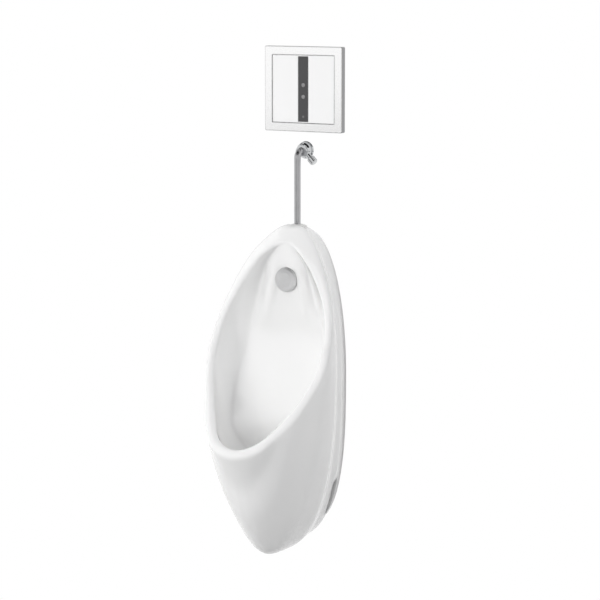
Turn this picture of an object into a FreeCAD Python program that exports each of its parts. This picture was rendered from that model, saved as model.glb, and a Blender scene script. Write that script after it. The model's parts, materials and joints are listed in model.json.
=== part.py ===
import FreeCAD, Part
import os
from math import cos, sin, pi, radians

# Wall hung urinal with a concealed sensor flush, in millimetres.
# The wall face is the plane Y = 0 and the object stands in front of it, towards -Y.
# What is built into the wall lies behind it, at +Y. +Z is up, and X = 0 is the middle.
# The origin is the centre of the waste outlet at the wall face.

Vector = FreeCAD.Vector
right = Vector(1, 0, 0)
inward = Vector(0, 1, 0)
outward = Vector(0, -1, 0)
up = Vector(0, 0, 1)
down = Vector(0, 0, -1)

# ceramic bowl
bowlWidth = 270.0
bowlReach = 290.0  # from the wall to just past the lip
bowlHeight = 648.0
outletAboveTip = 92.0  # waste outlet above the lowest point of the bowl
ceramicWall = 11.0
browSolid = 15.0  # solid ceramic left behind the rim
facetSag = 2.0  # allowance for the flat facets of the hollow
rimRadius = 5.0
panelTop = 62.0  # top of the lower rear panel
panelBottom = 384.0  # bottom of the upper rear panel
handHoleWidth = 30.0
handHoleHeight = 74.0
handHoleReach = 29.0
handHoleLevel = 10.0

# fixings to the wall
hangerSpacing = 76.0
hangerTop = 443.0
hangerWidth = 34.0
hangerHeight = 46.0
hangerPlate = 3.0
hangerLip = 9.0
hangerScrewRadius = 3.0
hangerScrewDepth = 45.0
lugSpacing = 92.0
lugLevel = 10.0
lugBoltRadius = 4.0
lugBoltDepth = 50.0
lugNutAcross = 13.0
lugNutHeight = 6.5
lugWasherRadius = 11.0
lugWasherHeight = 3.0
plugWall = 2.0

# waste outlet and bottle trap
drainReach = 152.0  # from the wall to the drain's centre
flangeRadius = 33.0
flangeThickness = 3.0
sealThickness = 2.0
tailRadius = 19.0
tailWall = 2.0
backNutAcross = 52.0
backNutHeight = 10.0
strainerRadius = 26.0
strainerDome = 5.0
strainerThickness = 2.0
trapRadius = 30.0
trapWall = 2.5
dipRadius = 14.0
dipDepth = 40.0  # end of the dip tube below the outlet's centre
cupCollar = 12.0
cupReach = 18.0  # cup below its seal
outletRadius = 20.0
outletWall = 2.5
outletDepth = 50.0  # how far the outlet pipe stands into the wall

# flush water: wall elbow, tube and spreader
tubeReach = 34.0
tubeRadius = 6.35
tubeWall = 0.9
tubeBend = 14.0
elbowLevel = 696.0
spreaderLevel = 447.0
spreaderRadius = 24.0
spreaderStand = 11.0
stemRadius = 9.0
stopRadius = 15.0
stopReach = 14.0
stopNeck = 4.0
stopBore = 2.8
rosetteRadius = 17.5
rosetteThickness = 2.5
knobTilt = 45.0  # degrees below level, to the right
knobRadius = 8.0
knobLength = 14.0
knobFlutes = 8
spindleRadius = 4.0  # plug of the stop valve, cross-drilled for the water
bonnetWall = 1.5
gasketThickness = 3.0

# flush plate
plateLevel = 816.0
plateWidth = 174.0
plateHeight = 167.0
plateReach = 12.5
plateBorder = 17.0
plateCorner = 3.0
panelRecess = 0.8
panelThickness = 3.0
windowWidth = 22.0
windowHeight = 127.0
lensRadius = 4.0
lensOffsets = (8.0, -15.0)
clipRadius = 2.5
clipSpread = (114.0, 124.0)

# box in the wall and the valve in it
boxWidth = 158.0
boxHeight = 150.0
boxDepth = 88.0
boxWall = 3.0
trayThickness = 3.0
valveDepth = 50.0  # valve axis behind the wall face
valveFloor = -58.0  # below the plate's centre
chamberRadius = 22.0
chamberHeight = 42.0
valveWall = 3.0
portRadius = 9.3
portDepth = 13.0
filterRadius = 7.0
filterRim = 1.5
barrelRadius = 13.5
barrelLevel = 14.0  # above the valve's floor
ballRadius = 9.0
ballBore = 5.0
pistonRadius = 17.0
pistonHeight = 6.0
plungerRadius = 4.2
plungerLength = 16.0
coilSide = 26.0
coilHeight = 28.0
springWire = 0.7
springCoilRadius = 3.0
springTurns = 4
cellRadius = 7.2
cellLength = 50.0
cellCount = 4
pipeRadius = 7.5
pipeWall = 1.0
pipeBend = 22.0

# fits
runningFit = 0.05
slipFit = 0.1
looseFit = 0.5
clearance = 0.3

# Outlines of the bowl parallel to the wall. In each row: depth in % of the reach, half width in % of
# half the width, then top, bottom and waist in % of the height, and the roundness above and below.
outerOutlines = [
    (0.0, 68.1, 97.7, 5.4, 52.0, 2.15, 2.70),
    (10.3, 72.6, 99.2, 3.2, 52.0, 2.15, 2.60),
    (20.7, 77.8, 99.8, 1.7, 52.8, 2.25, 2.35),
    (31.0, 88.5, 100.0, 0.6, 55.0, 2.40, 2.10),
    (36.2, 94.8, 100.0, 0.2, 56.3, 2.42, 2.00),
    (41.4, 97.8, 100.0, 0.0, 57.4, 2.45, 1.90),
    (51.7, 100.0, 100.0, 0.3, 58.2, 2.30, 1.75),
    (65.5, 89.6, 100.0, 4.9, 56.6, 2.20, 1.72),
    (79.3, 74.0, 100.0, 15.0, 53.5, 2.20, 1.80),
    (91.4, 59.3, 100.0, 27.3, 50.5, 2.20, 1.80),
    (100.0, 40.7, 100.0, 35.6, 48.9, 2.20, 1.80),
]
cavityOutlines = [
    (20.7, 20.0, 90.0, 29.0, 49.7, 1.80, 2.00),
    (26.2, 31.0, 92.6, 27.0, 49.7, 1.60, 2.00),
    (27.2, 39.0, 93.0, 26.8, 51.0, 1.60, 2.00),
    (28.3, 53.5, 93.5, 26.5, 54.0, 1.60, 2.00),
    (29.7, 64.0, 94.1, 26.2, 59.0, 1.65, 2.00),
    (31.0, 71.1, 94.5, 26.0, 63.0, 1.75, 2.00),
    (32.1, 74.1, 94.8, 25.8, 65.0, 1.80, 2.00),
    (36.5, 80.7, 95.2, 25.3, 65.9, 1.80, 2.00),
    (40.0, 84.4, 95.4, 25.0, 65.9, 1.85, 1.95),
    (44.8, 85.9, 95.4, 25.0, 65.5, 1.90, 1.90),
    (51.7, 87.4, 95.4, 25.0, 64.4, 1.90, 1.90),
    (65.5, 77.0, 95.4, 25.5, 59.0, 1.80, 1.80),
    (79.3, 59.3, 95.4, 27.5, 54.3, 1.80, 1.80),
    (86.0, 51.1, 95.4, 30.0, 52.0, 1.80, 1.80),
    (92.4, 44.4, 95.4, 34.8, 52.0, 1.80, 1.80),
    (100.0, 31.0, 95.4, 38.5, 50.5, 1.80, 1.80),
]
# The rim and the back wall seen from the side. In each row: height in %, depth in %, and how far the
# surface leans back (rim) or comes forward (back wall) at the full half width, in % of the reach.
rimProfile = [
    (27.9, 113.8, 0.0),
    (35.6, 97.3, 0.0),
    (38.4, 92.4, 0.0),
    (43.1, 82.1, 0.0),
    (48.0, 72.4, 0.0),
    (52.3, 65.9, 0.0),
    (58.8, 57.2, 0.0),
    (64.7, 51.2, 0.0),
    (70.5, 44.8, 0.0),
    (76.5, 42.8, 5.0),
    (79.6, 41.7, 8.2),
    (82.7, 40.4, 10.3),
    (85.8, 38.2, 12.6),
    (89.0, 36.8, 17.3),
    (92.1, 34.8, 26.7),
    (94.6, 30.9, 28.9),
    (96.1, 25.7, 28.9),
    (98.3, 21.7, 28.9),
    (100.6, 17.9, 25.1),
]
backProfile = [
    (19.0, 40.0, 26.0),
    (24.2, 40.0, 26.0),
    (30.4, 40.0, 26.0),
    (38.1, 39.5, 24.0),
    (47.4, 35.2, 9.0),
    (56.6, 31.0, 1.7),
    (63.7, 28.4, 0.0),
    (70.4, 27.1, 0.0),
    (76.5, 26.4, 0.0),
    (79.8, 26.0, 0.0),
    (83.2, 26.1, 0.0),
    (86.0, 26.6, 0.0),
    (90.4, 27.6, 0.0),
    (96.0, 28.6, 0.0),
]
outlinePoints = 24
outerSections = 12
cavitySections = 13
cavityGather = 1.4
rimSections = 16
backSections = 12
hollowSections = 9
sheetSides = (-1.2, -0.8, -0.4, 0.0, 0.4, 0.8, 1.2)

# worked out from the sizes above
halfWidth = bowlWidth / 2
bowlTip = -outletAboveTip
tubeInnerRadius = tubeRadius - tubeWall
boxBottom = plateLevel - boxHeight / 2
chamberBottom = plateLevel + valveFloor
chamberTop = chamberBottom + chamberHeight
barrelHeight = chamberBottom + barrelLevel
pistonSeat = chamberBottom + chamberHeight * 0.45
guideBottom = chamberTop + 2 * valveWall
parts = {}


def place(shape, base, axis):
    # stands a shape that was made along +Z at base, along axis
    stood = shape.copy()
    stood.Placement = FreeCAD.Placement(base, FreeCAD.Rotation(up, axis))
    return stood


def rod(radius, length, base, axis):
    return Part.makeCylinder(radius, length, base, axis)


def ring(outerRadius, innerRadius, length, base, axis):
    return rod(outerRadius, length, base, axis).cut(rod(innerRadius, length, base, axis))


def turned(profile, base, axis):
    # solid of revolution through (radius, height) points along axis
    points = [Vector(radius, 0, height) for radius, height in profile]
    face = Part.Face(Part.makePolygon(points + points[:1]))
    return place(face.revolve(Vector(0, 0, 0), up, 360), base, axis)


def hexagon(across, length, base, axis):
    corner = across / 2 / cos(pi / 6)
    points = [Vector(corner * cos(i * pi / 3), corner * sin(i * pi / 3), 0) for i in range(7)]
    return place(Part.Face(Part.makePolygon(points)).extrude(Vector(0, 0, length)), base, axis)


def nut(across, holeRadius, length, base, axis):
    return hexagon(across, length, base, axis).cut(rod(holeRadius, length, base, axis))


def block(x, y, z):
    # box between pairs of limits
    size = [abs(pair[1] - pair[0]) for pair in (x, y, z)]
    return Part.makeBox(size[0], size[1], size[2], Vector(min(x), min(y), min(z)))


def around(middle, width):
    return (middle - width / 2, middle + width / 2)


def smooth(table, x, column):
    # smooth curve through one column of a table
    xs = [row[0] for row in table]
    ys = [row[column] for row in table]
    last = len(xs) - 1
    slopes = [(ys[i + 1] - ys[i]) / (xs[i + 1] - xs[i]) for i in range(last)]
    if x <= xs[0]:
        return ys[0] + slopes[0] * (x - xs[0])
    if x >= xs[last]:
        return ys[last] + slopes[-1] * (x - xs[last])
    tangents = [slopes[0]]
    for before, after in zip(slopes, slopes[1:]):
        product = before * after
        tangents.append(2 * product / (before + after) if product > 0 else 0.0)
    tangents.append(slopes[-1])
    i = max(k for k in range(last) if xs[k] <= x)
    step = xs[i + 1] - xs[i]
    t = (x - xs[i]) / step
    start = ys[i] * (1 + 2 * t) * (1 - t) ** 2 + tangents[i] * step * t * (1 - t) ** 2
    return start + ys[i + 1] * t * t * (3 - 2 * t) + tangents[i + 1] * step * t * t * (t - 1)


def heightAt(percent):
    return bowlTip + bowlHeight * percent / 100


def percentAt(height):
    return (height - bowlTip) * 100 / bowlHeight


def backReach(height):
    # depth of the bowl's back wall in the middle, from the wall
    return bowlReach * smooth(backProfile, percentAt(height), 1) / 100


def outline(table, share, grow, setBack, straight):
    # closed outline parallel to the wall: two half superellipses that meet at the waist
    width, top, bottom, waist, upper, lower = [smooth(table, share, k) for k in range(1, 7)]
    halfSpan = halfWidth * width / 100 + grow
    waistHeight = heightAt(waist)
    rise = heightAt(top) + grow - waistHeight
    drop = waistHeight - heightAt(bottom) + grow
    points = []
    for i in range(outlinePoints):
        c = cos(2 * pi * i / outlinePoints)
        s = sin(2 * pi * i / outlinePoints)
        power = upper if s >= 0 else lower
        tall = rise if s >= 0 else drop
        scale = (abs(c) ** power + abs(s) ** power) ** (-1 / power)
        height = waistHeight + tall * s * scale
        points.append(Vector(halfSpan * c * scale, setBack - bowlReach * share / 100, height))
    if straight:
        return Part.makePolygon(points + points[:1])
    curve = Part.BSplineCurve()
    steps = [i / outlinePoints for i in range(outlinePoints + 1)]
    curve.interpolate(Points=points, PeriodicFlag=True, Parameters=steps)
    return Part.Wire(curve.toShape())


def skin(table, first, last, sections, gather=1.0, grow=0.0, setBack=0.0, straight=False):
    # loft through outlines that gather towards the wall, smooth or in flat facets
    shares = [first + (last - first) * (i / (sections - 1)) ** gather for i in range(sections)]
    wires = [outline(table, share, grow, setBack, straight) for share in shares]
    return Part.makeLoft(wires, True, straight, False, 3)


def inFrontOf(profile, lean, sections, shift=0.0):
    # everything in front of a surface that is lofted from side profiles across the width
    first = profile[0][0]
    last = profile[-1][0]
    wires = []
    for side in sheetSides:
        points = []
        for i in range(sections):
            percent = first + (last - first) * i / (sections - 1)
            depth = smooth(profile, percent, 1) + lean * smooth(profile, percent, 2) * side * side
            points.append(Vector(side * halfWidth, -bowlReach * depth / 100 - shift, heightAt(percent)))
        curve = Part.BSplineCurve()
        steps = [i / (sections - 1) for i in range(sections)]
        curve.interpolate(Points=points, Parameters=steps)
        wires.append(Part.Wire(curve.toShape()))
    surface = Part.makeLoft(wires, False, False, False, 3)
    return surface.Faces[0].extrude(Vector(0, -2 * bowlReach, 0))


drainFloor = heightAt(smooth(cavityOutlines, 100 * drainReach / bowlReach, 3))
drainSeat = drainFloor - 1.5
drainUnderside = drainFloor - ceramicWall - 3
tubeSeat = heightAt(smooth(outerOutlines, 100 * tubeReach / bowlReach, 2)) - 5
backFace = backReach(spreaderLevel)
backRear = backFace - ceramicWall
inletHoleRadius = 15.0
drainHoleRadius = tailRadius + 2
gasketRadius = stemRadius + 8
lugHoleRadius = lugBoltRadius + plugWall + looseFit  # the wall plug passes too


def makeCavity():
    hollow = skin(cavityOutlines, cavityOutlines[0][0], 100, cavitySections, cavityGather)
    return hollow.common(inFrontOf(backProfile, 1, backSections))


def makeRearHollow():
    # room behind and below the bowl for the trap and the pipes, open at the wall
    hollow = skin(outerOutlines, -1, 97, hollowSections, 1.0, -ceramicWall, 0, True)
    hollow = hollow.cut(inFrontOf(rimProfile, -1, rimSections, -browSolid))
    front = inFrontOf(backProfile, 1, backSections, -ceramicWall)
    for setBack in (0, ceramicWall):
        grow = ceramicWall + facetSag
        first = cavityOutlines[0][0]
        shell = skin(cavityOutlines, first, 108, cavitySections, cavityGather, grow, setBack, True)
        hollow = hollow.cut(shell.common(front))
    hollow = max(hollow.Solids, key=lambda solid: solid.Volume)
    reach = (-ceramicWall, ceramicWall)
    span = (-bowlWidth, bowlWidth)
    hollow = hollow.cut(block(span, reach, (bowlTip, panelTop)))
    return hollow.cut(block(span, reach, (panelBottom, heightAt(100))))


def longLoops(shape, low, high):
    # closed edges round the bowl whose foremost point lies between two depths
    loops = [e for e in shape.Edges if e.isClosed() and e.Length > bowlHeight]
    loops = [e for e in loops if e.BoundBox.YMax < -ceramicWall]
    return [e for e in loops if low < e.BoundBox.YMin < high]


def makeBowl():
    bowl = skin(outerOutlines, 0, 100, outerSections).cut(makeRearHollow())
    bowl = bowl.cut(inFrontOf(rimProfile, -1, rimSections)).cut(makeCavity())
    bowl = bowl.makeFillet(rimRadius, longLoops(bowl, -2 * bowlReach, -0.8 * bowlReach))
    bossBase = Vector(0, -drainReach, drainUnderside)
    bowl = bowl.fuse(rod(flangeRadius + 3, ceramicWall, bossBase, up))
    bowl = bowl.cut(rod(flangeRadius + looseFit, bowlHeight / 10, Vector(0, -drainReach, drainSeat), up))
    bowl = bowl.cut(rod(drainHoleRadius, bowlHeight / 5, bossBase - up * ceramicWall, up))
    spreaderFront = Vector(0, -backFace, spreaderLevel)
    spreaderRear = Vector(0, -backRear, spreaderLevel)
    bowl = bowl.cut(rod(stemRadius + looseFit, 2 * ceramicWall, spreaderRear + inward * 5, outward))
    bowl = bowl.cut(rod(spreaderRadius + looseFit, ceramicWall, spreaderFront, outward))
    bowl = bowl.cut(rod(gasketRadius + looseFit, ceramicWall, spreaderRear, inward))
    tubeEntry = Vector(0, -tubeReach, tubeSeat)
    bowl = bowl.cut(rod(inletHoleRadius, 3 * ceramicWall, tubeEntry - up * 2 * ceramicWall, up))
    bowl = bowl.cut(rod(inletHoleRadius + 6, bowlHeight, tubeEntry, up))
    bowl = bowl.cut(rod(outletRadius + 11, 3 * ceramicWall, Vector(0, ceramicWall, 0), outward))
    for side in (-1, 1):
        lugRear = lugPlace(side) + inward * ceramicWall
        bowl = bowl.cut(rod(lugHoleRadius, 3 * ceramicWall, lugRear, outward))
        slotX = around(side * hangerSpacing / 2, hangerWidth + 2 * clearance)
        slotZ = (hangerTop - hangerHeight - 2, hangerTop)
        bowl = bowl.cut(block(slotX, (ceramicWall, -2 * ceramicWall + 5), slotZ))
        bowl = bowl.cut(makeHandHole(side))
    return bowl


def makeHandHole(side):
    # rounded slot through one side wall, for reaching the lower nuts
    radius = handHoleWidth / 2
    straight = handHoleHeight / 2 - radius
    x = side * bowlWidth / 8
    reach = Vector(side * bowlWidth, 0, 0)
    slotY = around(-handHoleReach, handHoleWidth)
    hole = block((x, x + side * bowlWidth), slotY, around(handHoleLevel, 2 * straight))
    for end in (-straight, straight):
        centre = Vector(x, -handHoleReach, handHoleLevel + end)
        hole = hole.fuse(rod(radius, bowlWidth, centre, reach))
    return hole


def lugPlace(side):
    return Vector(side * lugSpacing / 2, 0, lugLevel)


def hangerPlace(side):
    return Vector(side * hangerSpacing / 2, 0, hangerTop - hangerHeight + 16)


def makeHangers():
    # wall brackets: the top of each ceramic slot rests on a shelf with a turned-up lip
    shapes = []
    for side in (-1, 1):
        x = around(side * hangerSpacing / 2, hangerWidth)
        plate = block(x, (0, -hangerPlate), (hangerTop - hangerHeight, hangerTop))
        lipFront = -ceramicWall - clearance - hangerPlate
        shelf = block(x, (0, lipFront), (hangerTop - hangerPlate, hangerTop))
        lip = block(x, (lipFront + hangerPlate, lipFront), (hangerTop - hangerPlate, hangerTop + hangerLip))
        hook = plate.fuse(shelf).fuse(lip).removeSplitter()
        hole = rod(hangerScrewRadius + slipFit, 3 * hangerPlate, hangerPlace(side) + inward, outward)
        shapes.append(hook.cut(hole))
    return shapes


def makeHangerScrews():
    head = 2.2 * hangerScrewRadius
    profile = [
        (0, -hangerScrewDepth),
        (hangerScrewRadius * 0.4, -hangerScrewDepth),
        (hangerScrewRadius, -hangerScrewDepth + 6),
        (hangerScrewRadius, hangerPlate),
        (head, hangerPlate),
        (head, hangerPlate + 2),
        (head * 0.7, hangerPlate + 4),
        (0, hangerPlate + 4),
    ]
    return [turned(profile, hangerPlace(side), outward) for side in (-1, 1)]


def makeWallPlugs():
    shapes = []
    for side in (-1, 1):
        for spot, radius, depth in (
            (hangerPlace(side), hangerScrewRadius, hangerScrewDepth),
            (lugPlace(side), lugBoltRadius, lugBoltDepth),
        ):
            shapes.append(ring(radius + plugWall, radius + slipFit, depth - 1, spot + inward, inward))
    return shapes


def makeLugBolts():
    nutTop = ceramicWall + lugWasherHeight + lugNutHeight
    length = lugBoltDepth + nutTop + 4
    return [rod(lugBoltRadius, length, lugPlace(s) + inward * lugBoltDepth, outward) for s in (-1, 1)]


def makeLugWashers():
    hole = lugBoltRadius + slipFit
    seat = outward * ceramicWall
    return [ring(lugWasherRadius, hole, lugWasherHeight, lugPlace(s) + seat, outward) for s in (-1, 1)]


def makeLugNuts():
    seat = outward * (ceramicWall + lugWasherHeight)
    hole = lugBoltRadius + slipFit
    return [nut(lugNutAcross, hole, lugNutHeight, lugPlace(s) + seat, outward) for s in (-1, 1)]


# waste
drainAxis = Vector(0, -drainReach, 0)
flangeBottom = drainSeat + sealThickness
tailBottom = drainUnderside - sealThickness - backNutHeight - 14
neckTop = tailBottom + 4
neckRadius = tailRadius + 3
trapTop = neckTop - 10
socketRadius = outletRadius + 3
trapBottom = -socketRadius - 1 - cupCollar
cupDepth = cupReach - trapBottom


def makeWasteFlange():
    recess = strainerRadius + clearance
    step = flangeBottom + flangeThickness
    profile = [
        (tailRadius - tailWall, tailBottom),
        (tailRadius, tailBottom),
        (tailRadius, flangeBottom),
        (flangeRadius, flangeBottom),
        (flangeRadius, step - 1),
        (flangeRadius - 2, step),
        (recess, step),
        (recess, step - 1.5),
        (tailRadius - tailWall, step - 1.5),
    ]
    return turned(profile, drainAxis, up)


def makeWasteSeal():
    return ring(flangeRadius - 1, tailRadius + clearance, sealThickness, drainAxis + up * drainSeat, up)


def makeBackNutSeal():
    base = drainAxis + up * (drainUnderside - sealThickness)
    return ring(backNutAcross / 2 - 1, tailRadius + clearance, sealThickness, base, up)


def makeBackNut():
    base = drainAxis + up * (drainUnderside - sealThickness - backNutHeight)
    return nut(backNutAcross, tailRadius + slipFit, backNutHeight, base, up)


def makeStrainer():
    # domed lift-out strainer with rings of drain holes
    rest = flangeBottom + flangeThickness - 1.5
    knee = strainerRadius * 0.5
    profile = [
        (0, rest + strainerDome - strainerThickness),
        (knee, rest + strainerDome - strainerThickness),
        (strainerRadius - strainerThickness, rest),
        (strainerRadius, rest),
        (strainerRadius, rest + strainerThickness),
        (knee, rest + strainerDome),
        (0, rest + strainerDome),
    ]
    dome = turned(profile, drainAxis, up)
    for count, radius, hole in ((1, 0.0, 2.5), (6, 9.0, 2.5), (10, 17.5, 2.5)):
        for i in range(count):
            angle = 2 * pi * i / count
            spot = drainAxis + Vector(radius * cos(angle), radius * sin(angle), rest - strainerThickness)
            dome = dome.cut(rod(hole, 3 * strainerDome, spot, up))
    return dome


def makeTrapBody():
    # shell open at the bottom, dip tube in the middle, outlet socket towards the wall
    profile = [
        (dipRadius, -dipDepth),
        (dipRadius + trapWall - 0.5, -dipDepth),
        (dipRadius + trapWall - 0.5, trapTop - trapWall - 4),
        (trapRadius - trapWall - 4, trapTop - trapWall - 4),
        (trapRadius - trapWall, trapTop - trapWall - 10),
        (trapRadius - trapWall, trapBottom),
        (trapRadius, trapBottom),
        (trapRadius, trapTop - 8),
        (trapRadius - 6, trapTop - 2),
        (neckRadius, trapTop),
        (neckRadius, neckTop),
        (tailRadius + slipFit, neckTop),
        (tailRadius + slipFit, tailBottom),
        (dipRadius, tailBottom),
    ]
    body = turned(profile, drainAxis, up)
    socket = rod(socketRadius, socketEnd(), Vector(0, -drainReach, 0), inward)
    socket = socket.cut(rod(trapRadius - trapWall, 4 * trapRadius, drainAxis - up * 2 * trapRadius, up))
    body = body.fuse(socket)
    bore = rod(outletRadius + slipFit, trapRadius + 40, Vector(0, -drainReach + trapRadius + 6, 0), inward)
    neckStart = Vector(0, -drainReach + dipRadius + trapWall, 0)
    neck = rod(outletRadius - outletWall, trapRadius + 20, neckStart, inward)
    return body.cut(bore).cut(neck)


def socketEnd():
    return trapRadius + 22


def makeTrapNut():
    lip = neckTop + sealThickness
    profile = [
        (neckRadius + slipFit, trapTop + 1),
        (neckRadius + 5, trapTop + 1),
        (neckRadius + 5, lip + 2),
        (tailRadius + slipFit, lip + 2),
        (tailRadius + slipFit, lip),
        (neckRadius + slipFit, lip),
    ]
    return turned(profile, drainAxis, up)


def makeTrapSeal():
    return ring(neckRadius, tailRadius + slipFit, sealThickness, drainAxis + up * neckTop, up)


def makeTrapCup():
    # screwed cup that holds the water seal
    inner = trapRadius + slipFit
    wall = trapWall
    profile = [
        (0, -cupDepth),
        (inner - 12, -cupDepth),
        (inner - 4, -cupDepth + 3),
        (inner - 1, -cupDepth + 9),
        (inner + wall, trapBottom - 3),
        (inner + wall, trapBottom + cupCollar),
        (inner, trapBottom + cupCollar),
        (inner, trapBottom - sealThickness),
        (inner - 4, trapBottom - sealThickness),
        (inner - 7, -cupDepth + 6),
        (inner - 13, -cupDepth + wall),
        (0, -cupDepth + wall),
    ]
    return turned(profile, drainAxis, up)


def makeCupSeal():
    base = drainAxis + up * (trapBottom - sealThickness)
    return ring(trapRadius - slipFit, trapRadius - trapWall - 1, sealThickness, base, up)


def makeOutletPipe():
    start = drainReach - socketEnd() + 14
    base = Vector(0, -start, 0)
    pipe = ring(outletRadius, outletRadius - outletWall, start + outletDepth, base, inward)
    return pipe.fuse(ring(outletRadius + 2, outletRadius - 1, 4, Vector(0, -5, 0), inward))


def makeOutletNut():
    # coupling ring over the end of the trap's socket
    end = -drainReach + socketEnd()
    profile = [
        (socketRadius + slipFit, -12),
        (socketRadius + 4, -12),
        (socketRadius + 4, 5),
        (outletRadius + slipFit, 5),
        (outletRadius + slipFit, 2),
        (socketRadius + slipFit, 2),
    ]
    return turned(profile, Vector(0, end, 0), inward)


def makeOutletSeal():
    end = -drainReach + socketEnd()
    return ring(socketRadius, outletRadius + slipFit, 2, Vector(0, end, 0), inward)


# flush water
spreaderAxis = Vector(0, 0, spreaderLevel)
tubeAxis = Vector(0, -tubeReach, 0)
elbowRadius = 11.0
socketTop = spreaderLevel + 21
nutBack = backRear - gasketThickness - 5


def makeSpreader():
    # domed chrome face on a hollow stem, with slots round the lower half
    face = backFace
    profile = [
        (stemRadius - 2, nutBack - 10),
        (stemRadius, nutBack - 10),
        (stemRadius, face),
        (spreaderRadius, face),
        (spreaderRadius, face + 4),
        (spreaderRadius - 3, face + 7.5),
        (spreaderRadius * 0.6, face + spreaderStand - 1),
        (0, face + spreaderStand),
        (0, face + spreaderStand - 3),
        (spreaderRadius * 0.55, face + spreaderStand - 4),
        (spreaderRadius - 6, face + 5),
        (spreaderRadius - 6, face + 2),
        (stemRadius - 2, face + 2),
    ]
    spreader = turned(profile, spreaderAxis, outward)
    for i in range(7):
        angle = radians(-150 + 20 * i)
        slotAxis = Vector(cos(angle), 0, sin(angle))
        base = spreaderAxis + outward * (face + 3.5) + slotAxis * (spreaderRadius - 9)
        spreader = spreader.cut(rod(1.3, 14, base, slotAxis))
    return spreader


def makeSpreaderGasket():
    base = spreaderAxis + outward * (backRear - gasketThickness)
    return ring(gasketRadius, stemRadius + slipFit, gasketThickness, base, outward)


def makeSpreaderNut():
    return nut(2 * stemRadius + 12, stemRadius + slipFit, 5, spreaderAxis + outward * nutBack, outward)


def makeSpreaderElbow():
    # brings the tube's water forward to the spreader's stem
    corner = Vector(0, -tubeReach, spreaderLevel)
    body = Part.makeSphere(elbowRadius, corner)
    body = body.fuse(rod(elbowRadius, nutBack - tubeReach, corner, outward))
    body = body.fuse(rod(elbowRadius, socketTop - spreaderLevel, corner, up))
    body = body.cut(rod(stemRadius + slipFit, 12, spreaderAxis + outward * nutBack, inward))
    body = body.cut(rod(tubeInnerRadius, nutBack - tubeReach, corner, outward))
    body = body.cut(rod(tubeInnerRadius, socketTop - spreaderLevel, corner, up))
    return body.cut(rod(tubeRadius + slipFit, 12, corner + up * (socketTop - spreaderLevel - 12), up))


def makeTubeOlive():
    base = tubeAxis + up * socketTop
    return ring(tubeRadius + 2, tubeRadius + slipFit, 3, base, up)


def makeTubeNut():
    # cap nut over the elbow's socket and the olive
    profileRadius = elbowRadius + slipFit
    base = tubeAxis + up * (socketTop - 8)
    shape = hexagon(2 * elbowRadius + 5, 15, base, up)
    shape = shape.cut(rod(profileRadius, 11, base, up))
    return shape.cut(rod(tubeRadius + slipFit, 15, base, up))


def makeInletSeal():
    # rubber grommet in the ceramic's top, round the tube
    bore = tubeRadius + slipFit
    profile = [
        (bore, tubeSeat - ceramicWall),
        (inletHoleRadius - 2, tubeSeat - ceramicWall),
        (inletHoleRadius - slipFit, tubeSeat - ceramicWall + 2),
        (inletHoleRadius - slipFit, tubeSeat),
        (inletHoleRadius + 4, tubeSeat),
        (inletHoleRadius + 4, tubeSeat + 2),
        (inletHoleRadius + 1, tubeSeat + 4),
        (tubeRadius + 3, tubeSeat + 6),
        (bore, tubeSeat + 6),
    ]
    return turned(profile, tubeAxis, up)


def bentTube(outerRadius, innerRadius, start, corner, end, bend):
    # tube along two straight runs joined by a quarter bend
    before = (start - corner).normalize()
    after = (end - corner).normalize()
    first = corner + before * bend
    second = corner + after * bend
    centre = first + after * bend
    shapes = []
    for radius in (outerRadius, innerRadius):
        disc = Part.Face(Part.Wire(Part.makeCircle(radius, first, before)))
        shape = disc.revolve(centre, after.cross(before), 90)
        shape = shape.fuse(rod(radius, (start - first).Length, first, before))
        shapes.append(shape.fuse(rod(radius, (end - second).Length, second, after)))
    return shapes[0].cut(shapes[1])


def makeFlushTube():
    start = Vector(0, -stopReach, elbowLevel)
    corner = Vector(0, -tubeReach, elbowLevel)
    end = Vector(0, -tubeReach, socketTop - 12)
    return bentTube(tubeRadius, tubeInnerRadius, start, corner, end, tubeBend)


stopCentre = Vector(0, -(rosetteThickness + stopReach) / 2, elbowLevel)
knobAxis = Vector(cos(radians(knobTilt)), 0, -sin(radians(knobTilt)))
bonnetEnd = stopRadius + 5
plugReach = 6.0  # plug beyond the middle of the stop valve
stopTail = 18.0


def makeStopBody():
    # round body in front of the wall, threaded tail in it, bonnet towards the knob
    profile = [
        (0, -stopTail),
        (pipeRadius + 3.5, -stopTail),
        (pipeRadius + 3.5, rosetteThickness),
        (stopRadius, rosetteThickness),
        (stopRadius, stopReach - 4),
        (stopRadius - 3, stopReach - 1),
        (tubeRadius + 3, stopReach),
        (tubeRadius + 3, stopReach + stopNeck),
        (0, stopReach + stopNeck),
    ]
    body = turned(profile, Vector(0, 0, elbowLevel), outward)
    body = body.fuse(rod(spindleRadius + bonnetWall, bonnetEnd, stopCentre, knobAxis))
    body = body.cut(rod(pipeRadius + slipFit, 12, Vector(0, stopTail, elbowLevel), outward))
    body = body.cut(rod(stopBore, stopTail + stopReach, Vector(0, stopTail, elbowLevel), outward))
    body = body.cut(rod(tubeRadius + slipFit, 2 * stopNeck, Vector(0, -stopReach, elbowLevel), outward))
    plugEnd = stopCentre - knobAxis * plugReach
    return body.cut(rod(spindleRadius + runningFit, bonnetEnd + plugReach, plugEnd, knobAxis))


def makeStopNut():
    base = Vector(0, -stopReach, elbowLevel)
    shape = hexagon(2 * tubeRadius + 9, 6, base, outward)
    shape = shape.cut(rod(tubeRadius + 3 + slipFit, stopNeck + slipFit, base, outward))
    return shape.cut(rod(tubeRadius + slipFit, 6, base, outward))


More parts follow.
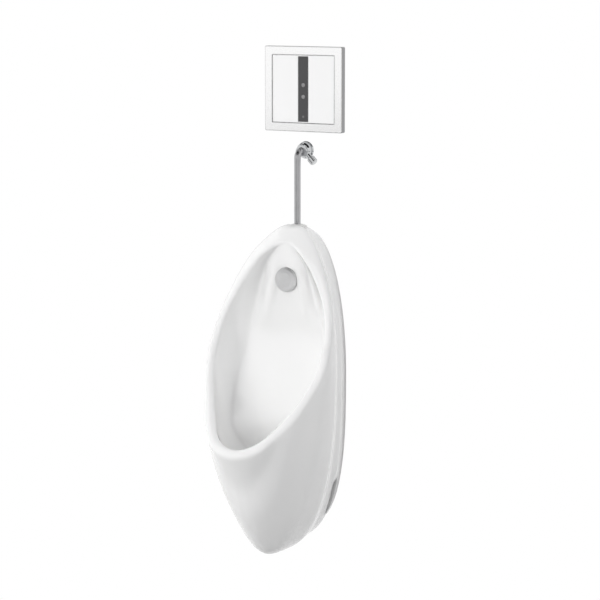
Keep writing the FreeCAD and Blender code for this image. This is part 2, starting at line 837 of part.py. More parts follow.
def makeRosette():
    # thin round plate between the stop body and the wall
    profile = [
        (pipeRadius + 3.5 + clearance, 0),
        (rosetteRadius, 0),
        (rosetteRadius, 1),
        (rosetteRadius - 1.5, rosetteThickness),
        (pipeRadius + 3.5 + clearance, rosetteThickness),
    ]
    return turned(profile, Vector(0, 0, elbowLevel), outward)


def makeSpindle():
    plugIn = plugReach - clearance
    spindle = rod(spindleRadius, plugIn + bonnetEnd + 8, stopCentre - knobAxis * plugIn, knobAxis)
    return spindle.cut(rod(stopBore, 4 * spindleRadius, stopCentre + inward * 2 * spindleRadius, outward))


def makeKnob():
    base = bonnetEnd + clearance
    profile = [
        (spindleRadius, base),
        (knobRadius - 1, base),
        (knobRadius, base + 1),
        (knobRadius, base + knobLength - 2),
        (knobRadius - 2, base + knobLength),
        (0, base + knobLength),
        (0, bonnetEnd + 8 + 2 * clearance),
        (spindleRadius, bonnetEnd + 8 + 2 * clearance),
    ]
    knob = turned(profile, stopCentre, knobAxis)
    side = knobAxis.cross(inward)
    for i in range(knobFlutes):
        angle = 2 * pi * i / knobFlutes
        offset = inward * cos(angle) + side * sin(angle)
        start = stopCentre + knobAxis * (base + 2) + offset * (knobRadius + 0.5)
        groove = rod(1.2, knobLength - 4, start, knobAxis)
        knob = knob.cut(groove)
    return knob


# flush plate
plateRear = 0.0
panelBack = plateReach - panelRecess - panelThickness
innerWidth = plateWidth - 2 * plateBorder
innerHeight = plateHeight - 2 * plateBorder


def roundedSlab(width, height, y, corner):
    slab = block(around(0, width), y, around(plateLevel, height))
    edges = [e for e in slab.Edges if abs(e.tangentAt(e.FirstParameter).y) > 0.9]
    return slab.makeFillet(corner, edges)


def clipPlaces():
    return [
        Vector(sx * clipSpread[0] / 2, 0, plateLevel + sz * clipSpread[1] / 2)
        for sx in (-1, 1)
        for sz in (-1, 1)
    ]


def makePlateFrame():
    # bezel with a turned-back edge and four clip pins
    frame = roundedSlab(plateWidth, plateHeight, (plateRear, -plateReach), plateCorner)
    front = [e for e in frame.Edges if e.BoundBox.YMax < -plateReach + 0.01]
    frame = frame.makeFillet(1.0, front)
    frame = frame.cut(block(around(0, innerWidth), (1, -plateReach - 1), around(plateLevel, innerHeight)))
    hollow = block(around(0, plateWidth - 5), (1, -panelBack), around(plateLevel, plateHeight - 5))
    frame = frame.cut(hollow)
    ledgeZ = around(plateLevel, innerHeight + 6)
    ledge = block(around(0, innerWidth + 6), (-panelBack + 2, -panelBack), ledgeZ)
    ledge = ledge.cut(block(around(0, innerWidth - 6), (0, -plateReach), around(plateLevel, innerHeight - 6)))
    frame = frame.fuse(ledge)
    for spot in clipPlaces():
        frame = frame.fuse(rod(clipRadius, panelBack + 8, spot + outward * panelBack, inward))
    return frame


def makePlatePanel():
    panel = block(
        around(0, innerWidth - 2 * clearance),
        (-panelBack, -panelBack - panelThickness),
        around(plateLevel, innerHeight - 2 * clearance),
    )
    opening = block(
        around(0, windowWidth + 2 * clearance),
        (0, -plateReach),
        around(plateLevel, windowHeight + 2 * clearance),
    )
    return panel.cut(opening)


def makeSensorWindow():
    window = block(
        around(0, windowWidth), (-panelBack, -panelBack - panelThickness), around(plateLevel, windowHeight)
    )
    flange = block(
        around(0, windowWidth + 6),
        (-panelBack + 1.5, -panelBack),
        around(plateLevel, min(windowHeight + 6, innerHeight - 7)),
    )
    window = window.fuse(flange).removeSplitter()
    for spot in lensPlaces():
        seat = spot + outward * (panelBack + panelThickness - 1.2)
        window = window.cut(rod(lensRadius + slipFit, 1.2, seat, outward))
    return window


def lensPlaces():
    return [Vector(0, 0, plateLevel + offset) for offset in lensOffsets]


def makeSensorLenses():
    base = outward * (panelBack + panelThickness - 1.2)
    profile = [(0, 0), (lensRadius, 0), (lensRadius, 1.1), (lensRadius * 0.6, 1.6), (0, 1.8)]
    return [turned(profile, spot + base, outward) for spot in lensPlaces()]


trayFront = 4.0
trayBack = trayFront + trayThickness
moduleWidth = 34.0
moduleHeight = 104.0
moduleFront = -panelBack + 1.5 + clearance


def makeMountingFrame():
    # tray across the box that takes the clips and the sensor module
    tray = block(
        around(0, boxWidth - 2 * boxWall - 1),
        (trayFront, trayBack),
        around(plateLevel, boxHeight - 2 * boxWall - 1),
    )
    tray = tray.cut(
        block(around(0, moduleWidth + slipFit), (0, 2 * trayBack), around(plateLevel, moduleHeight + slipFit))
    )
    for spot in clipPlaces():
        tray = tray.fuse(rod(clipRadius + 2.5, 7, spot + inward * trayFront, inward))
        tray = tray.cut(rod(clipRadius + clearance, 20, spot, inward))
    for spot in trayScrewPlaces():
        tray = tray.cut(rod(2, 20, spot, inward))
    return tray


def trayScrewPlaces():
    x = boxWidth / 2 - boxWall - 6
    z = boxHeight / 2 - boxWall - 7
    return [Vector(sx * x, 0, plateLevel + sz * z) for sx in (-1, 1) for sz in (-1, 1)]


def makeSensorModule():
    body = block(around(0, moduleWidth), (moduleFront, trayBack + 8), around(plateLevel, moduleHeight))
    edges = [e for e in body.Edges if abs(e.tangentAt(e.FirstParameter).y) > 0.9]
    body = body.makeFillet(2, edges)
    flange = block(around(0, moduleWidth + 8), (trayBack, trayBack + 2), around(plateLevel, moduleHeight + 8))
    return body.fuse(flange).removeSplitter()


def makeTrayScrews():
    profile = [(0, 0), (3.4, 0), (3.4, -2), (1.8, -2), (1.8, -14), (0, -15)]
    return [turned(profile, spot + inward * (trayFront - 2), outward) for spot in trayScrewPlaces()]


# wall box and valve
valveAxis = Vector(0, valveDepth, 0)
barrelEnd = boxWidth / 2 + 9
ballPlace = Vector(chamberRadius + valveWall + 12, valveDepth, barrelHeight)
outletTail = 10.0
tailEnd = boxBottom - 6


def makeWallBox():
    box = block(around(0, boxWidth), (0.5, boxDepth), around(plateLevel, boxHeight))
    inside = block(
        around(0, boxWidth - 2 * boxWall),
        (0, boxDepth - boxWall),
        around(plateLevel, boxHeight - 2 * boxWall),
    )
    box = box.cut(inside)
    for spot in trayScrewPlaces():
        x = (spot.x - 5, boxWidth / 2 - 1) if spot.x > 0 else (-boxWidth / 2 + 1, spot.x + 5)
        boss = block(x, (trayBack, boxDepth - 1), around(spot.z, 10))
        box = box.fuse(boss).cut(rod(1.8, 20, spot, inward))
    barrelExit = Vector(boxWidth / 2 - 10, valveDepth, barrelHeight)
    box = box.cut(rod(barrelRadius + clearance, 20, barrelExit, right))
    return box.cut(rod(outletTail + clearance, 20, valveAxis + up * (boxBottom - 10), up))


def makeValveBody():
    # chamber with a raised seat, inlet barrel to the right, outlet tail through the box's floor
    body = rod(chamberRadius + valveWall, chamberHeight, valveAxis + up * chamberBottom, up)
    barrelBase = Vector(0, valveDepth, barrelHeight)
    body = body.fuse(rod(barrelRadius, barrelEnd, barrelBase, right))
    body = body.fuse(rod(outletTail, chamberBottom - tailEnd, valveAxis + up * tailEnd, up))
    stemBoss = rod(6, barrelRadius + 4, ballPlace, outward)
    body = body.fuse(stemBoss)
    roomBase = pistonSeat - 6
    body = body.cut(rod(chamberRadius, chamberTop - roomBase, valveAxis + up * roomBase, up))
    body = body.fuse(rod(pistonRadius * 0.6, pistonSeat - roomBase, valveAxis + up * roomBase, up))
    body = body.cut(rod(pistonRadius * 0.6 - 2, pistonSeat - tailEnd, valveAxis + up * tailEnd, up))
    body = body.cut(rod(pipeRadius + slipFit, 12, valveAxis + up * tailEnd, up))
    inlet = Vector(chamberRadius - 4, valveDepth, barrelHeight)
    body = body.cut(rod(ballBore, barrelEnd, inlet, right))
    body = body.cut(rod(3, pistonSeat - barrelHeight, inlet, up))
    body = body.cut(Part.makeSphere(ballRadius + runningFit, ballPlace))
    body = body.cut(rod(3 + runningFit, 2 * barrelRadius, ballPlace, outward))
    filterSeat = Vector(barrelEnd - portDepth - filterRim, valveDepth, barrelHeight)
    body = body.cut(rod(filterRadius + slipFit, filterRim, filterSeat, right))
    return body.cut(rod(portRadius, portDepth, filterSeat + right * filterRim, right))


def makeValveCover():
    base = valveAxis + up * chamberTop
    cover = rod(chamberRadius + valveWall, 2 * valveWall, base, up)
    return cover.cut(rod(plungerRadius + clearance, 2 * valveWall, base, up))


def makePiston():
    # servo piston that lifts off the seat when the pilot opens
    profile = [
        (0, pistonSeat + clearance),
        (pistonRadius, pistonSeat + clearance),
        (pistonRadius, pistonSeat + pistonHeight),
        (pistonRadius * 0.7, pistonSeat + pistonHeight),
        (pistonRadius * 0.7, pistonSeat + pistonHeight + 3),
        (0, pistonSeat + pistonHeight + 3),
    ]
    return turned(profile, valveAxis, up)


def makeGuide():
    # closed tube that the solenoid's plunger slides in
    top = guideBottom + coilHeight + 4
    profile = [
        (plungerRadius + runningFit, guideBottom),
        (plungerRadius + 5, guideBottom),
        (plungerRadius + 5, guideBottom + 2),
        (plungerRadius + 1, guideBottom + 2),
        (plungerRadius + 1, top),
        (0, top),
        (0, top - 3),
        (plungerRadius + runningFit, top - 3),
    ]
    return turned(profile, valveAxis, up)


def makeCoil():
    base = guideBottom + 2
    coil = block(around(0, coilSide), around(valveDepth, coilSide), (base, base + coilHeight - 2))
    edges = [e for e in coil.Edges if abs(e.tangentAt(e.FirstParameter).z) > 0.9]
    core = rod(plungerRadius + 1 + slipFit, coilHeight, valveAxis + up * base, up)
    return coil.makeFillet(3, edges).cut(core)


plungerBase = guideBottom + 1
plungerTop = plungerBase + plungerLength
springTop = guideBottom + coilHeight + 1


def makePlunger():
    return rod(plungerRadius, plungerLength, valveAxis + up * plungerBase, up)


def makePlungerSpring():
    # compression spring between the plunger and the closed end of its guide
    bottom = plungerTop + springWire + clearance
    length = springTop - springWire - bottom
    helix = Part.makeHelix(length / springTurns, length, springCoilRadius)
    half = springWire / 2
    corners = [(-half, -half), (half, -half), (half, half), (-half, half), (-half, -half)]
    square = Part.makePolygon([Vector(springCoilRadius + x, 0, z) for x, z in corners])
    spring = Part.Wire(helix).makePipeShell([square], True, True)
    return place(spring, valveAxis + up * bottom, up)


def makeIsolatorBall():
    ball = Part.makeSphere(ballRadius, ballPlace, right)
    return ball.cut(rod(ballBore, 4 * ballRadius, ballPlace - right * 2 * ballRadius, right))


def makeIsolatorStem():
    # screwdriver stop on the front of the inlet barrel
    start = ballRadius + clearance
    stem = rod(3, barrelRadius + 8 - start, ballPlace + outward * start, outward)
    slot = block(around(ballPlace.x, 10), around(valveDepth - barrelRadius - 8, 3), around(barrelHeight, 1.2))
    return stem.cut(slot)


def makeInletFilter():
    base = Vector(barrelEnd - portDepth - filterRim - 8, valveDepth, barrelHeight)
    cup = ring(ballBore - slipFit, ballBore - 1, 8, base, right)
    rim = ring(filterRadius, ballBore - 1, filterRim, base + right * 8, right)
    return cup.fuse(rim).removeSplitter()


def makeBoxNuts():
    boxSide = Vector(boxWidth / 2, valveDepth, barrelHeight)
    barrelNut = nut(2 * barrelRadius + 8, barrelRadius + slipFit, 5, boxSide, right)
    tailNut = nut(2 * outletTail + 7, outletTail + slipFit, 5, valveAxis + up * boxBottom, down)
    return [barrelNut, tailNut]


def makeFeedPipe():
    # hidden pipe from the valve down to the stop valve
    start = valveAxis + up * (tailEnd + 11)
    corner = Vector(0, valveDepth, elbowLevel)
    end = Vector(0, stopTail - 11, elbowLevel)
    return bentTube(pipeRadius, pipeRadius - pipeWall, start, corner, end, pipeBend)


caseX = (-boxWidth / 2 + boxWall, -boxWidth / 2 + boxWall + 2 * cellRadius + 5)
caseY = (trayBack + 4, trayBack + 4 + 2 * cellRadius * cellCount + 6)
caseZ = around(plateLevel, cellLength + 5)


def makeBatteryCase():
    case = block(caseX, caseY, caseZ)
    inside = block(
        (caseX[0] + 2, caseX[1] - 2), (caseY[0] + 2, caseY[1] - 2), (caseZ[0] + 2, caseZ[1] - 2)
    )
    return case.cut(inside)


def makeCells():
    x = caseX[0] + 2 + cellRadius + slipFit
    base = caseZ[0] + 2
    first = caseY[0] + 2 + slipFit + cellRadius
    step = 2 * cellRadius + 2 * slipFit
    return [rod(cellRadius, cellLength, Vector(x, first + step * i, base), up) for i in range(cellCount)]


def add(name, shape):
    shapes = shape if isinstance(shape, list) else [shape]
    solids = [solid for item in shapes for solid in item.Solids]
    parts[name] = solids[0] if len(solids) == 1 else Part.makeCompound(solids)


add("bowl", makeBowl())
add("hanger_brackets", makeHangers())
add("hanger_screws", makeHangerScrews())
add("wall_plugs", makeWallPlugs())
add("lug_bolts", makeLugBolts())
add("lug_washers", makeLugWashers())
add("lug_nuts", makeLugNuts())
add("waste_flange", makeWasteFlange())
add("waste_seal", makeWasteSeal())
add("back_nut_seal", makeBackNutSeal())
add("back_nut", makeBackNut())
add("strainer", makeStrainer())
add("trap_body", makeTrapBody())
add("trap_nut", makeTrapNut())
add("trap_seal", makeTrapSeal())
add("trap_cup", makeTrapCup())
add("cup_seal", makeCupSeal())
add("outlet_pipe", makeOutletPipe())
add("outlet_nut", makeOutletNut())
add("outlet_seal", makeOutletSeal())
add("spreader", makeSpreader())
add("spreader_gasket", makeSpreaderGasket())
add("spreader_nut", makeSpreaderNut())
add("spreader_elbow", makeSpreaderElbow())
add("tube_olive", makeTubeOlive())
add("tube_nut", makeTubeNut())
add("inlet_seal", makeInletSeal())
add("flush_tube", makeFlushTube())
add("stop_body", makeStopBody())
add("stop_nut", makeStopNut())
add("wall_rosette", makeRosette())
add("stop_spindle", makeSpindle())
add("stop_knob", makeKnob())
add("plate_frame", makePlateFrame())
add("plate_panel", makePlatePanel())
add("sensor_window", makeSensorWindow())
add("sensor_lenses", makeSensorLenses())
add("mounting_frame", makeMountingFrame())
add("sensor_module", makeSensorModule())
add("frame_screws", makeTrayScrews())
add("wall_box", makeWallBox())
add("valve_body", makeValveBody())
add("valve_cover", makeValveCover())
add("valve_piston", makePiston())
add("plunger_guide", makeGuide())
add("solenoid_coil", makeCoil())
add("solenoid_plunger", makePlunger())
add("plunger_spring", makePlungerSpring())
add("isolator_ball", makeIsolatorBall())
add("isolator_stem", makeIsolatorStem())
add("inlet_filter", makeInletFilter())
add("box_nuts", makeBoxNuts())
add("feed_pipe", makeFeedPipe())
add("battery_case", makeBatteryCase())
add("battery_cells", makeCells())

os.makedirs("parts", exist_ok=True)
for name, shape in parts.items():
    shape.exportStep("parts/" + name + ".step")
    print(name, len(shape.Solids), shape.isValid(), round(shape.Volume))
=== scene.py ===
import json
import bpy
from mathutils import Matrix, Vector


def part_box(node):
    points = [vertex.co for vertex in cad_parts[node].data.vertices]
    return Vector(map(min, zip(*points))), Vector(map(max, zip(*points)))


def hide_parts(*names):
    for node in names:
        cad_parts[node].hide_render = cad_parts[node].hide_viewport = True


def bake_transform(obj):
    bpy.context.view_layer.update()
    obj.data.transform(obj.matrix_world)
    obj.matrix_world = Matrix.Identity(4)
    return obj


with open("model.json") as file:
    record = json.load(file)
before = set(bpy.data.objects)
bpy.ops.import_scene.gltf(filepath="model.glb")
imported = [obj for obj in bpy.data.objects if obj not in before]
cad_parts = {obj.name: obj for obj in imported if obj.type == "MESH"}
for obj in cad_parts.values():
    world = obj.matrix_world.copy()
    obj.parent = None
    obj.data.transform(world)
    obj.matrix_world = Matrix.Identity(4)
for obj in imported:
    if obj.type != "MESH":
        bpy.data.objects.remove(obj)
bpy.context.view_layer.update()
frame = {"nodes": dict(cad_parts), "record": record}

nodes = frame["nodes"]
slotOf = {part["node"]: part["material_slot"] for part in frame["record"]["subparts"]}
collection = bpy.context.scene.collection
print("nodes loaded", len(nodes))


# camera at the photograph's viewing angle
camera = {
    "place": Vector((2.0225, -3.5271, 1.0372)),
    "target": Vector((-0.01386, 0.0, 0.395)),
    "lens": 123.69,
    "sensor": 36.0,
    "farthest": 60,
}
lensData = bpy.data.cameras.new("camera")
lensData.lens = camera["lens"]
lensData.sensor_width = camera["sensor"]
lensData.clip_end = camera["farthest"]
cameraObject = bpy.data.objects.new("camera", lensData)
cameraObject.location = camera["place"]
cameraObject.rotation_mode = "QUATERNION"
cameraObject.rotation_quaternion = (camera["target"] - camera["place"]).to_track_quat("-Z", "Y")
collection.objects.link(cameraObject)
bpy.context.scene.camera = cameraObject
bpy.context.scene.view_settings.view_transform = "Standard"
print("camera placed")


def startMaterial(name, values):
    # Principled material with constants set on its own sockets
    material = bpy.data.materials.new(name)
    material.use_nodes = True
    tree = material.node_tree
    shader = tree.nodes["Principled BSDF"]
    for socket, value in values.items():
        shader.inputs[socket].default_value = value
    return material, tree, shader


def addNode(tree, kind, values=None, **settings):
    node = tree.nodes.new(kind)
    for key, value in settings.items():
        setattr(node, key, value)
    for socket, value in (values or {}).items():
        node.inputs[socket].default_value = value
    return node


def noiseOn(tree, scale, detail):
    # noise in object space, in metres
    place = addNode(tree, "ShaderNodeTexCoord")
    noise = addNode(tree, "ShaderNodeTexNoise", {"Scale": scale, "Detail": detail})
    tree.links.new(place.outputs["Object"], noise.inputs["Vector"])
    return noise.outputs["Fac"]


def rampFrom(tree, source, low, high, start, end):
    # goes from one tone to the other between two values of the source
    ramp = addNode(tree, "ShaderNodeValToRGB")
    first, last = ramp.color_ramp.elements
    first.position = start
    first.color = (*low, 1)
    last.position = end
    last.color = (*high, 1)
    tree.links.new(source, ramp.inputs["Fac"])
    return ramp.outputs["Color"]


def colourFrom(tree, shader, source, low, high, start=0.3, end=0.7):
    tone = rampFrom(tree, source, low, high, start, end)
    tree.links.new(tone, shader.inputs["Base Color"])


def polishFrom(tree, shader, source, smooth, rough):
    # roughness that wanders between two values
    level = addNode(tree, "ShaderNodeMapRange", {"To Min": smooth, "To Max": rough})
    tree.links.new(source, level.inputs["Value"])
    tree.links.new(level.outputs["Result"], shader.inputs["Roughness"])


def bevelNormal(tree, radius):
    # normal that rolls over the sharp edges
    bevel = addNode(tree, "ShaderNodeBevel", {"Radius": radius}, samples=8)
    return bevel.outputs["Normal"]


def reliefFrom(tree, shader, source, strength, depth, edge):
    # fine relief, with the sharp edges rounded off in the shading
    bump = addNode(tree, "ShaderNodeBump", {"Strength": strength, "Distance": depth})
    tree.links.new(source, bump.inputs["Height"])
    tree.links.new(bevelNormal(tree, edge), bump.inputs["Normal"])
    tree.links.new(bump.outputs["Normal"], shader.inputs["Normal"])


china = {
    "gloss": {"Roughness": 0.1, "IOR": 1.53, "Coat Weight": 0.4, "Coat Roughness": 0.04},
    "cloud": 7.0,
    "colours": ((0.905, 0.905, 0.9), (0.925, 0.925, 0.922)),
    "wave": 18.0,
    "relief": 0.06,
    "depth": 0.0015,
    "edge": 0.02,
}


def makeGlaze():
    # white vitreous china: a hard gloss over a slightly uneven body
    material, tree, shader = startMaterial("glazed_china", china["gloss"])
    colourFrom(tree, shader, noiseOn(tree, china["cloud"], 2.0), *china["colours"])
    wave = noiseOn(tree, china["wave"], 1.5)
    reliefFrom(tree, shader, wave, china["relief"], china["depth"], china["edge"])
    return material


metal = {"shader": {"Metallic": 1.0, "IOR": 2.0}, "cloud": 60.0, "darker": 0.93,
         "relief": 0.05, "depth": 0.0002, "edge": 0.0006}


def makeMetal(name, colour, roughness, spread, grain):
    # bare or plated metal with an uneven polish
    material, tree, shader = startMaterial(name, metal["shader"])
    darker = [value * metal["darker"] for value in colour]
    colourFrom(tree, shader, noiseOn(tree, metal["cloud"], 3.0), darker, colour)
    polish = noiseOn(tree, grain, 4.0)
    polishFrom(tree, shader, polish, roughness, roughness + spread)
    reliefFrom(tree, shader, polish, metal["relief"], metal["depth"], metal["edge"])
    return material


plastic = {"index": 1.49, "cloud": 30.0, "darker": 0.95, "spread": 0.08, "depth": 0.0003, "edge": 0.0004}


def makePlastic(name, colour, roughness, grain, relief, gloss=0.5):
    # moulded plastic or rubber with a fine moulded texture
    material, tree, shader = startMaterial(name, {"Specular IOR Level": gloss, "IOR": plastic["index"]})
    darker = [value * plastic["darker"] for value in colour]
    colourFrom(tree, shader, noiseOn(tree, plastic["cloud"], 2.0), darker, colour)
    texture = noiseOn(tree, grain, 4.0)
    polishFrom(tree, shader, texture, roughness, roughness + plastic["spread"])
    reliefFrom(tree, shader, texture, relief, plastic["depth"], plastic["edge"])
    return material


# the two flat pieces of the flush plate, with painted shade: a darker line along their rims and on their
# narrow sides
paintedShadeTurn = (0.7, 0.97)  # front part of the normal where the painted edge shade ends and the front colour starts
# in both pieces the edge colour is painted shade for the rims and narrow sides, and front is the plain front
# colour
plateFrame = {
    "name": "satin_plate", "shader": metal["shader"],
    "rim": 0.005, "edge": (0.3, 0.3, 0.305), "front": (0.99, 0.99, 0.99),
    "grain": 900.0, "polish": (0.18, 0.22), "relief": 0.006, "depth": 0.0002, "rounding": 0.0012,
}
platePanel = {
    "name": "panel_gloss", "shader": {"Specular IOR Level": 0.7, "IOR": 1.49},
    "rim": 0.0035, "edge": (0.4, 0.4, 0.4), "front": (0.93, 0.93, 0.93),
    "grain": 400.0, "polish": (0.05, 0.13), "relief": 0.01, "depth": 0.0003, "rounding": 0.0008,
}


def makeFlat(flat):
    # bright where the surface faces front, going over to a painted shade where it turns away from the front
    material, tree, shader = startMaterial(flat["name"], flat["shader"])
    split = addNode(tree, "ShaderNodeSeparateXYZ")
    tree.links.new(bevelNormal(tree, flat["rim"]), split.inputs["Vector"])
    facing = addNode(tree, "ShaderNodeMath", operation="ABSOLUTE")
    tree.links.new(split.outputs["Y"], facing.inputs[0])
    # painted shade: the colour darkens where the rounded normal turns away from the front
    colourFrom(tree, shader, facing.outputs["Value"], flat["edge"], flat["front"], *paintedShadeTurn)
    polish = noiseOn(tree, flat["grain"], 4.0)
    polishFrom(tree, shader, polish, *flat["polish"])
    reliefFrom(tree, shader, polish, flat["relief"], flat["depth"], flat["rounding"])
    return material


smokedWindow = {
    "shader": {"Specular IOR Level": 0.55, "Coat Weight": 0.3},
    "dark": (0.036, 0.036, 0.038),
    # lit is the painted glow at the middle of the lamp's spot
    "lit": (0.13, 0.13, 0.132),
    "lampAboveFoot": 0.0095,
    "lampRadius": 0.0032,
    "grain": 500.0,
    "polish": (0.06, 0.13),
}


def makeSensorWindow():
    # smoked window, with the glow of a small lamp behind it painted as a lighter spot near its foot
    material, tree, shader = startMaterial("sensor_window", smokedWindow["shader"])
    low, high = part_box("sensor_window")
    radius = smokedWindow["lampRadius"]
    place = addNode(tree, "ShaderNodeTexCoord")
    away = addNode(tree, "ShaderNodeVectorMath", operation="DISTANCE")
    away.inputs[1].default_value = ((low[0] + high[0]) / 2, low[1], low[2] + smokedWindow["lampAboveFoot"])
    tree.links.new(place.outputs["Object"], away.inputs[0])
    fade = addNode(tree, "ShaderNodeMapRange", {"From Min": radius, "From Max": radius / 3})
    tree.links.new(away.outputs["Value"], fade.inputs["Value"])
    # painted glow: the colour goes lighter inside the lamp's spot
    colourFrom(tree, shader, fade.outputs["Result"], smokedWindow["dark"], smokedWindow["lit"], 0.0, 1.0)
    polishFrom(tree, shader, noiseOn(tree, smokedWindow["grain"], 3.0), *smokedWindow["polish"])
    return material


finishes = {
    "vitreous": makeGlaze(),
    "chrome": makeMetal("chrome_plate", (0.6, 0.61, 0.62), 0.05, 0.04, 300.0),
    "tube_chrome": makeMetal("tube_plate", (0.46, 0.46, 0.47), 0.3, 0.06, 300.0),
    "spreader_satin": makeMetal("satin_spreader", (0.76, 0.76, 0.765), 0.5, 0.08, 700.0),
    "plate_satin": makeFlat(plateFrame),
    "zinc_steel": makeMetal("zinc_steel", (0.62, 0.62, 0.60), 0.3, 0.15, 500.0),
    "brass": makeMetal("brass", (0.72, 0.55, 0.28), 0.22, 0.14, 400.0),
    "spring_steel": makeMetal("spring_steel", (0.5, 0.5, 0.5), 0.25, 0.1, 800.0),
    "black_rubber": makePlastic("black_rubber", (0.018, 0.018, 0.018), 0.6, 900.0, 0.25),
    "white_plastic": makePlastic("white_plastic", (0.80, 0.80, 0.785), 0.3, 700.0, 0.08),
    "grey_plastic": makePlastic("grey_plastic", (0.20, 0.21, 0.22), 0.5, 700.0, 0.2),
    "black_plastic": makePlastic("black_plastic", (0.02, 0.02, 0.022), 0.42, 800.0, 0.2),
    "panel_white": makeFlat(platePanel),
    "sensor_dark": makeSensorWindow(),
    "lens": makePlastic("sensor_lens", (0.24, 0.235, 0.24), 0.12, 500.0, 0.01, gloss=0.8),
    "cell_wrap": makePlastic("cell_wrap", (0.04, 0.05, 0.07), 0.22, 300.0, 0.03),
}
# pieces whose plating differs from the rest of their slot
ownFinish = {"plate_frame": "plate_satin", "spreader": "spreader_satin", "flush_tube": "tube_chrome"}
sharpAngle = 0.6  # in radians; flatter edges are shaded smooth
for name, node in nodes.items():
    finish = ownFinish.get(name, slotOf[name])
    node.data.materials.clear()
    node.data.materials.append(finishes[finish])
    for polygon in node.data.polygons:
        polygon.use_smooth = True
    node.data.set_sharp_from_angle(angle=sharpAngle)
print("finishes set")

# the spring over the plunger sits on the closed end of its guide; its mesh is copied into a piece of its own
# and the CAD part is hidden
spring = {"node": "plunger_spring", "held": "fixture", "moved": "pilot"}
coil = bpy.data.objects.new("pilot_spring", nodes[spring["node"]].data.copy())
collection.objects.link(coil)
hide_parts(spring["node"])
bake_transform(coil)
print("spring made")


def makePlane(name, corners, material):
    mesh = bpy.data.meshes.new(name)
    mesh.from_pydata(corners, [], [(0, 1, 2, 3)])
    mesh.materials.append(material)
    sheet = bpy.data.objects.new(name, mesh)
    collection.objects.link(sheet)
    return sheet


def seenDirectly(tree):
    # 1 for rays from the camera and for mirrored or refracted ones
    path = addNode(tree, "ShaderNodeLightPath")
    total = path.outputs["Is Camera Ray"]
    for kind in ("Is Glossy Ray", "Is Transmission Ray"):
        either = addNode(tree, "ShaderNodeMath", operation="MAXIMUM")
        tree.links.new(total, either.inputs[0])
        tree.links.new(path.outputs[kind], either.inputs[1])
        total = either.outputs["Value"]
    return total


def mixShaders(tree, factor, first, second):
    mix = addNode(tree, "ShaderNodeMixShader")
    tree.links.new(factor, mix.inputs["Fac"])
    tree.links.new(first, mix.inputs[1])
    tree.links.new(second, mix.inputs[2])
    return mix.outputs["Shader"]


def makeStageMaterial(name, tone, seen, hideBack):
    # matt sheet that looks plain to the camera, and may be clear from behind
    material = bpy.data.materials.new(name)
    material.use_nodes = True
    tree = material.node_tree
    tree.nodes.clear()
    output = addNode(tree, "ShaderNodeOutputMaterial")
    matt = addNode(tree, "ShaderNodeBsdfDiffuse", {"Color": (tone, tone, tone, 1)})
    glow = addNode(tree, "ShaderNodeEmission", {"Color": (seen, seen, seen, 1), "Strength": 1.0})
    surface = mixShaders(tree, seenDirectly(tree), matt.outputs["BSDF"], glow.outputs["Emission"])
    if hideBack:
        clear = addNode(tree, "ShaderNodeBsdfTransparent")
        side = addNode(tree, "ShaderNodeNewGeometry")
        surface = mixShaders(tree, side.outputs["Backfacing"], surface, clear.outputs["BSDF"])
    tree.links.new(surface, output.inputs["Surface"])
    return material


stage = {
    "wallTone": 0.75, "wallSeen": 1.0, "floorTone": 0.33, "floorSeen": 0.93,
    "wallHalf": 3.0, "wallTop": 2.6, "wallGap": 0.00025, "floorHalf": 6.0, "floorLevel": -0.52,
}
wall = makeStageMaterial("studio_wall", stage["wallTone"], stage["wallSeen"], True)
floor = makeStageMaterial("studio_floor", stage["floorTone"], stage["floorSeen"], False)
level, top = stage["floorLevel"], stage["wallTop"]
wide, gap = stage["wallHalf"], stage["wallGap"]
makePlane("studio_wall", [(-wide, gap, level), (wide, gap, level), (wide, gap, top), (-wide, gap, top)], wall)
far = stage["floorHalf"]
floorCorners = [(-far, -far, level), (far, -far, level), (far, far, level), (-far, far, level)]
makePlane("studio_floor", floorCorners, floor)

# dark cards out of view, which only mirrored rays meet, so that the plating shows its form
cards = {
    "card_above": [(-2.6, -3.4, 2.9), (3.4, -3.4, 2.9), (3.4, -0.3, 2.9), (-2.6, -0.3, 2.9)],
    "card_right": [(3.3, -3.9, -0.4), (3.3, -0.4, -0.4), (3.3, -0.4, 2.2), (3.3, -3.9, 2.2)],
    "card_low": [(-2.4, -3.6, -0.5), (0.6, -3.6, -0.5), (0.6, -3.6, 0.25), (-2.4, -3.6, 0.25)],
}
cardMaterial = startMaterial("dark_card", {"Base Color": (0.02, 0.02, 0.02, 1), "Roughness": 1.0})[0]
for name, corners in cards.items():
    card = makePlane(name, corners, cardMaterial)
    card.visible_camera = False
    card.visible_diffuse = False
    card.visible_shadow = False
print("stage made")

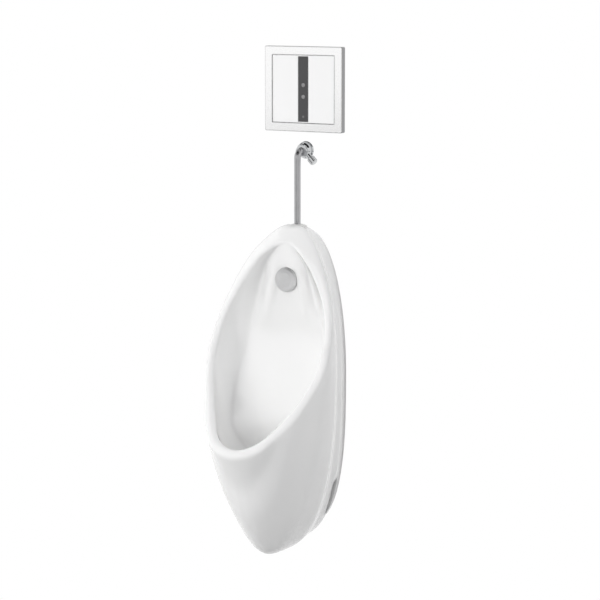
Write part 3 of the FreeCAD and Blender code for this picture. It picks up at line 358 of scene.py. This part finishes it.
# the room: white where it is seen, and a soft light on the object that falls off towards the right
room = {"strength": 0.86, "left": (1.0, 1.0, 1.0), "right": (0.7, 0.7, 0.71), "start": 0.2, "end": 0.85}
world = bpy.data.worlds.new("room")
bpy.context.scene.world = world
world.use_nodes = True
tree = world.node_tree
tree.nodes.clear()
output = addNode(tree, "ShaderNodeOutputWorld")
white = addNode(tree, "ShaderNodeBackground", {"Color": (1, 1, 1, 1), "Strength": 1.0})
soft = addNode(tree, "ShaderNodeBackground", {"Strength": room["strength"]})
direction = addNode(tree, "ShaderNodeTexCoord")
split = addNode(tree, "ShaderNodeSeparateXYZ")
across = addNode(tree, "ShaderNodeMapRange", {"From Min": -1.0, "From Max": 1.0})
tree.links.new(direction.outputs["Generated"], split.inputs["Vector"])
tree.links.new(split.outputs["X"], across.inputs["Value"])
tone = rampFrom(tree, across.outputs["Result"], room["left"], room["right"], room["start"], room["end"])
tree.links.new(tone, soft.inputs["Color"])
sky = mixShaders(tree, seenDirectly(tree), soft.outputs["Background"], white.outputs["Background"])
tree.links.new(sky, output.inputs["Surface"])

# a large key in front and to the left, a weak fill from the right, one low on the left and one behind
lights = {
    "key_light": {"place": (-1.1, -3.2, 1.15), "target": (0, -0.1, 0.35), "size": 2.2, "power": 41.0},
    "fill_light": {"place": (2.6, -1.4, 0.9), "target": (0, -0.1, 0.3), "size": 1.8, "power": 10.0},
    "low_light": {"place": (-2.4, -1.2, -0.2), "target": (0, -0.1, 0.1), "size": 1.0, "power": 12.0},
    "back_light": {"place": (0.6, 2.6, 1.2), "target": (0, 0.0, 0.4), "size": 1.8, "power": 30.0},
}
notMirrored = ("key_light", "low_light")  # these leave no patch in the glaze
for name, light in lights.items():
    lamp = bpy.data.lights.new(name, "AREA")
    lamp.shape = "SQUARE"
    lamp.size = light["size"]
    lamp.energy = light["power"]
    lampObject = bpy.data.objects.new(name, lamp)
    place = Vector(light["place"])
    lampObject.location = place
    lampObject.rotation_mode = "QUATERNION"
    lampObject.rotation_quaternion = (Vector(light["target"]) - place).to_track_quat("-Z", "Y")
    lampObject.visible_glossy = name not in notMirrored
    collection.objects.link(lampObject)
print("lights made")
